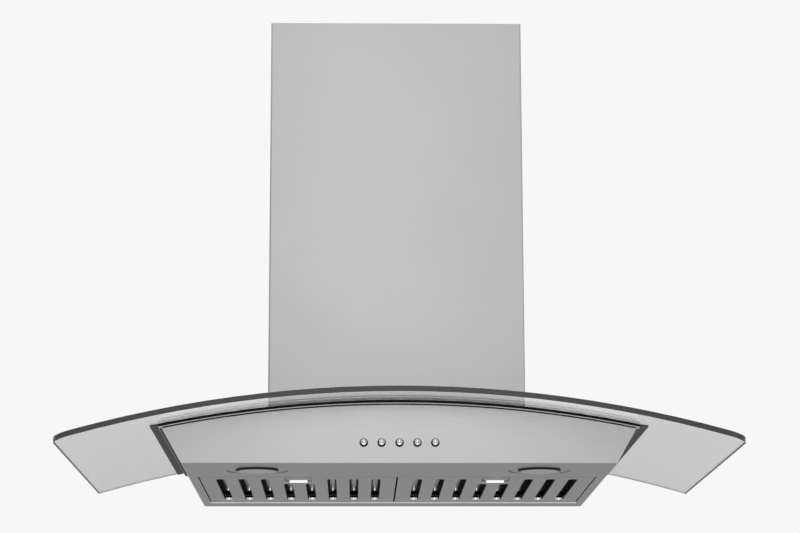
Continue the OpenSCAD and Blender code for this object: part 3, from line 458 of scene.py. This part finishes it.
def screw_mesh(head_r, head_h, shank_r, shank_l):
    """Pan head screw with a cross recess: it stands on z = 0 and its shank goes down."""
    bm = bmesh.new()
    revolved(bm, [(0, -shank_l), (shank_r - 0.3 * MM, -shank_l), (shank_r, -shank_l + 0.4 * MM), (shank_r, 0),
                  (head_r - 0.1 * MM, 0), (head_r, 0.1 * MM), (head_r, 0.35 * head_h),
                  (0.93 * head_r, 0.68 * head_h), (0.78 * head_r, 0.88 * head_h),
                  (0.5 * head_r, 0.98 * head_h), (0, head_h)], 40)
    blank = bpy.data.meshes.new("screw blank")
    bm.to_mesh(blank)
    bm.free()
    cutter = bpy.data.meshes.new("recess")
    bm = bmesh.new()
    deep, half, thin = 0.62 * head_h, 0.5 * head_r, 0.13 * head_r
    for sx, sy in ((half, thin), (thin, half)):
        low = [bm.verts.new((x * 0.45 * sx, y * 0.45 * sy, head_h - deep)) for x, y in SQUARE]
        top = [bm.verts.new((x * 1.15 * sx, y * 1.15 * sy, 1.2 * head_h)) for x, y in SQUARE]
        bm.faces.new(low)
        bm.faces.new(top)
        for i in range(4):
            bm.faces.new([low[i], low[(i + 1) % 4], top[(i + 1) % 4], top[i]])
    bmesh.ops.recalc_face_normals(bm, faces=bm.faces)
    bm.to_mesh(cutter)
    bm.free()
    body, tool = new_object("blank", blank), new_object("recess", cutter)
    cut = body.modifiers.new("recess", "BOOLEAN")
    cut.operation, cut.solver, cut.object, cut.use_self = "DIFFERENCE", "EXACT", tool, True
    depsgraph = bpy.context.evaluated_depsgraph_get()
    made = bpy.data.meshes.new_from_object(body.evaluated_get(depsgraph))
    for obj in (body, tool):
        bpy.data.objects.remove(obj)
    made.materials.clear()
    return made


def smooth(mesh, degrees):
    """Smooth shading, with edges sharper than degrees kept."""
    mesh.shade_smooth()
    mesh.set_sharp_from_angle(angle=math.radians(degrees))


def stand_in(mesh, node, body):
    """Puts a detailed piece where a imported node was."""
    piece = new_object(node + "_detailed", mesh)
    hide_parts(node)
    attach(piece, body)
    return piece


def latches():
    """Sliding catches with a finger lip that leans back; the lip's front face is polished steel, made lighter
    than the plate as a painted highlight.
    """
    satin = brushed("satin plate", 0.45, 0.50, "x")
    polished = brushed("finger lip", 0.70, 0.22, "x", strength=0.1)
    lip_lean = 0.8 * MM
    for side in SIDES:
        node = f"filter_{side}_latch"
        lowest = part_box(node)[0][2]
        mesh = frame["nodes"][node].data.copy()
        mesh.name = node + "_detailed"
        mesh.materials.clear()
        mesh.materials.append(satin)
        mesh.materials.append(polished)
        for vertex in mesh.vertices:
            if vertex.co.z < lowest + 0.5 * MM:
                vertex.co.y += lip_lean
        mesh.update()
        for face in mesh.polygons:
            # The lip's front face gets the lighter polished steel, partly a painted highlight.
            face.material_index = int(face.normal.y < -0.7 and face.center.z < lowest + 2.2 * MM)
        piece = stand_in(mesh, node, f"latch_{side}")
        soften(piece, 0.25 * MM)


def buttons():
    """Push buttons with a black skirt and a smooth chromed cap."""
    skirt = plastic("button skirt", grey(0.002), grey(0.005), 0.6, specular=0.0)
    panel_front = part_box("front_panel")[0][1]
    # Heights above the panel: shoulder behind it, end of the skirt, and start of the cap's rim
    shoulder, skirt_end, rim = -5 * MM, 1.2 * MM, 5 * MM
    stem_r, rim_w, dome_h, dome_steps = 3 * MM, 0.6 * MM, 0.45 * MM, 8
    for i in range(1, 6):
        low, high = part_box(f"button_{i}")
        r, proud, back = (high[0] - low[0]) / 2, panel_front - low[1], panel_front - high[1]
        dome_r = r - 1.75 * MM
        crown = proud - dome_h
        profile = [(0, back), (stem_r, back), (stem_r, shoulder), (r, shoulder), (r, skirt_end),
                   (dome_r + rim_w, rim)]
        profile += [(dome_r + rim_w * math.cos(a), rim + (crown - rim) * math.sin(a))
                    for a in (0.2, 0.5, 0.8, 1.1, 1.35)]
        profile += [(dome_r * k / dome_steps, proud - dome_h * (k / dome_steps) ** 2)
                    for k in range(dome_steps, 0, -1)]
        profile.append((0, proud))
        bm = bmesh.new()
        revolved(bm, profile, 64)
        mesh = bpy.data.meshes.new(f"button_{i}_detailed")
        bm.to_mesh(mesh)
        bm.free()
        mesh.materials.append(MATERIALS["chrome"])
        mesh.materials.append(skirt)
        for face in mesh.polygons:
            if face.center.z < rim:
                face.material_index = 1
        mesh.transform(Matrix.Translation(((low[0] + high[0]) / 2, panel_front, (low[2] + high[2]) / 2))
                       @ Matrix.Rotation(math.pi / 2, 4, "X"))
        smooth(mesh, 32)
        stand_in(mesh, f"button_{i}", f"button_{i}")


def islands(mesh):
    """Vertex coordinates of each separate solid of a mesh."""
    parent = list(range(len(mesh.vertices)))

    def root(i):
        while parent[i] != i:
            parent[i] = parent[parent[i]]
            i = parent[i]
        return i

    places = {}
    for v in mesh.vertices:
        key = tuple(round(c * 1e6) for c in v.co)
        parent[root(v.index)] = root(places.setdefault(key, v.index))
    for edge in mesh.edges:
        parent[root(edge.vertices[0])] = root(edge.vertices[1])
    groups = {}
    for v in mesh.vertices:
        groups.setdefault(root(v.index), []).append(v.co.copy())
    return list(groups.values())


def cross_screws(node, head_r, head_h, shank_r, axis_of):
    """Replaces the plain screws of a node by screws with cross recesses, each where its solid is."""
    made = bmesh.new()
    for points in islands(frame["nodes"][node].data):
        centre = sum(points, Vector()) / len(points)
        axis = axis_of(centre).normalized()
        heights = [(p - centre).dot(axis) for p in points]
        seat = centre + axis * (max(heights) - head_h)
        shank = max(heights) - head_h - min(heights)
        mesh = screw_mesh(head_r, head_h, shank_r, shank)
        turn = axis.to_track_quat("Z", "Y").to_matrix().to_4x4()
        twist = Matrix.Rotation(1.3 * centre.x * 1000 + 0.7 * centre.y * 1000, 4, "Z")
        mesh.transform(Matrix.Translation(seat) @ turn @ twist)
        made.from_mesh(mesh)
        bpy.data.meshes.remove(mesh)
    mesh = bpy.data.meshes.new(node + "_detailed")
    made.to_mesh(mesh)
    made.free()
    mesh.materials.append(MATERIALS["zinc_plate"])
    smooth(mesh, 35)
    stand_in(mesh, node, "hood")


def screws():
    """Puts the detailed screws in; each is turned its own way, and axis_of points out of its head."""
    small = (3.2 * MM, 1.6 * MM, 1.6 * MM)
    cross_screws("collar_screws", *small, lambda at: Vector((0, 0, 1)))
    cross_screws("cover_screws", *small, lambda at: Vector((0, -1, 0)))
    scroll_low, scroll_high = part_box("scroll_housing")
    middle_y = (scroll_low[1] + scroll_high[1]) / 2
    cross_screws("fan_screws", *small, lambda at: Vector((0, -1 if at.y < middle_y else 1, 0)))
    cross_screws("clamp_screws", 4.6 * MM, 3 * MM, 2.5 * MM, lambda at: Vector((at.x, 0, at.z - ARCH_AXIS_Z)))


# Level of the plain background as camera and glass see it, as metal sees it in three directions, and as
# the light that it gives
BACKGROUND = 0.93
SHEEN_FRONT = 0.58
SHEEN_BACK = 0.54
SHEEN_ABOVE = 0.66
AMBIENT = 0.62
# Directions (Y, and then Z) where metal's background goes from front to back, and from level to above
FRONT_TO_BACK = (-0.25, 0.45)
LEVEL_TO_ABOVE = (0.12, 0.60)
# Floor: camera sees it pale, and so does metal in front of the hood. Behind the hood, where the real one
# has its wall, metal sees it darken between two places along Y
FLOOR_Z = -2.4
FLOOR_HALF = 30.0
FLOOR_PALE = (0.95, 0.95, 0.945)
FLOOR_DARKER = (0.52, 0.52, 0.515)
FLOOR_DARKENS = (0.5, 3.0)
# Lamps: name, place, what they point at, size and power in watts
LAMPS = (
    ("key light", (-2.2, -3.0, 2.6), (0, -0.3, 0), (2.6, 2.6), 17),
    ("fill light", (2.4, -2.6, 0.6), (0, -0.3, -0.1), (1.6, 1.6), 7),
    ("front light", (0.02, -3.4, 0.95), (0.02, -0.4, 0.95), (0.95, 1.7), 5.0),
    ("low light", (0, -2.7, -1.3), (0, -0.3, -0.2), (1.6, 1.3), 7),
    ("back light", (0.8, 2.6, 2.4), (0, 0, 0), (3.0, 3.0), 23),
)


def blend_by(tree, factor, start, end):
    """Value that goes from start to end by factor; start and end are numbers or outputs."""
    node = tree.nodes.new("ShaderNodeMix")
    for socket, value in (("A", start), ("B", end)):
        if isinstance(value, float):
            node.inputs[socket].default_value = value
        else:
            tree.links.new(value, node.inputs[socket])
    tree.links.new(factor, node.inputs["Factor"])
    return node.outputs["Result"]


def ramp(tree, value, start, end):
    """Smooth rise from 0 to 1 as value goes from start to end."""
    node = tree.nodes.new("ShaderNodeMapRange")
    node.interpolation_type = "SMOOTHSTEP"
    node.inputs["From Min"].default_value = start
    node.inputs["From Max"].default_value = end
    tree.links.new(value, node.inputs["Value"])
    return node.outputs["Result"]


def world():
    """Plain studio background."""
    scene = bpy.context.scene
    scene.world = bpy.data.worlds.new("studio")
    scene.world.use_nodes = True
    tree = scene.world.node_tree
    back = tree.nodes["Background"]
    back.inputs["Color"].default_value = (1, 1, 1, 1)
    where = tree.nodes.new("ShaderNodeTexCoord")
    axes = tree.nodes.new("ShaderNodeSeparateXYZ")
    tree.links.new(where.outputs["Generated"], axes.inputs["Vector"])
    sheen = blend_by(tree, ramp(tree, axes.outputs["Y"], *FRONT_TO_BACK), SHEEN_FRONT, SHEEN_BACK)
    sheen = blend_by(tree, ramp(tree, axes.outputs["Z"], *LEVEL_TO_ABOVE), sheen, SHEEN_ABOVE)
    path = tree.nodes.new("ShaderNodeLightPath")
    level = blend_by(tree, path.outputs["Is Glossy Ray"], AMBIENT, sheen)
    for name in ("Is Transmission Ray", "Is Camera Ray"):
        level = blend_by(tree, path.outputs[name], level, BACKGROUND)
    tree.links.new(level, back.inputs["Strength"])


def floor():
    """Plain pale floor under the hood, open from below so that the underside can be looked at."""
    mesh = bpy.data.meshes.new("floor")
    mesh.from_pydata([(x * FLOOR_HALF, y * FLOOR_HALF, FLOOR_Z) for x, y in SQUARE], [], [(0, 1, 2, 3)])
    obj = new_object("floor", mesh)
    g = Graph("pale floor")
    g.set(Roughness=0.8)
    path = g.add("ShaderNodeLightPath")
    where = g.add("ShaderNodeTexCoord")
    axes = g.add("ShaderNodeSeparateXYZ")
    g.link(where.outputs["Object"], axes.inputs["Vector"])
    seen = g.add("ShaderNodeMath", operation="MULTIPLY_ADD", use_clamp=True)
    g.link(path.outputs["Is Glossy Ray"], seen.inputs[0])
    g.link(ramp(g.tree, axes.outputs["Y"], *reversed(FLOOR_DARKENS)), seen.inputs[1])
    g.link(path.outputs["Is Camera Ray"], seen.inputs[2])
    g.link(g.tone(seen.outputs[0], FLOOR_DARKER, FLOOR_PALE), g.shader.inputs["Base Color"])
    clear = g.add("ShaderNodeBsdfTransparent")
    side = g.add("ShaderNodeNewGeometry")
    mix = g.add("ShaderNodeMixShader")
    g.link(side.outputs["Backfacing"], mix.inputs["Fac"])
    g.link(g.shader.outputs["BSDF"], mix.inputs[1])
    g.link(clear.outputs["BSDF"], mix.inputs[2])
    g.link(mix.outputs["Shader"], g.tree.nodes["Material Output"].inputs["Surface"])
    mesh.materials.append(g.material)


def lamps():
    """Soft area lamps, which camera and glass don't see."""
    for name, at, towards, size, power in LAMPS:
        data = bpy.data.lights.new(name, "AREA")
        data.shape = "RECTANGLE"
        data.size, data.size_y = size
        data.energy = power
        obj = new_object(name, data)
        obj.location = at
        obj.rotation_mode = "QUATERNION"
        obj.rotation_quaternion = (Vector(towards) - Vector(at)).to_track_quat("-Z", "Y")
        obj.visible_camera = False
        obj.visible_transmission = False


camera()
dress_nodes()
soften_edges()
buttons()
latches()
screws()
world()
floor()
lamps()

bpy.context.scene.view_settings.view_transform = "Standard"
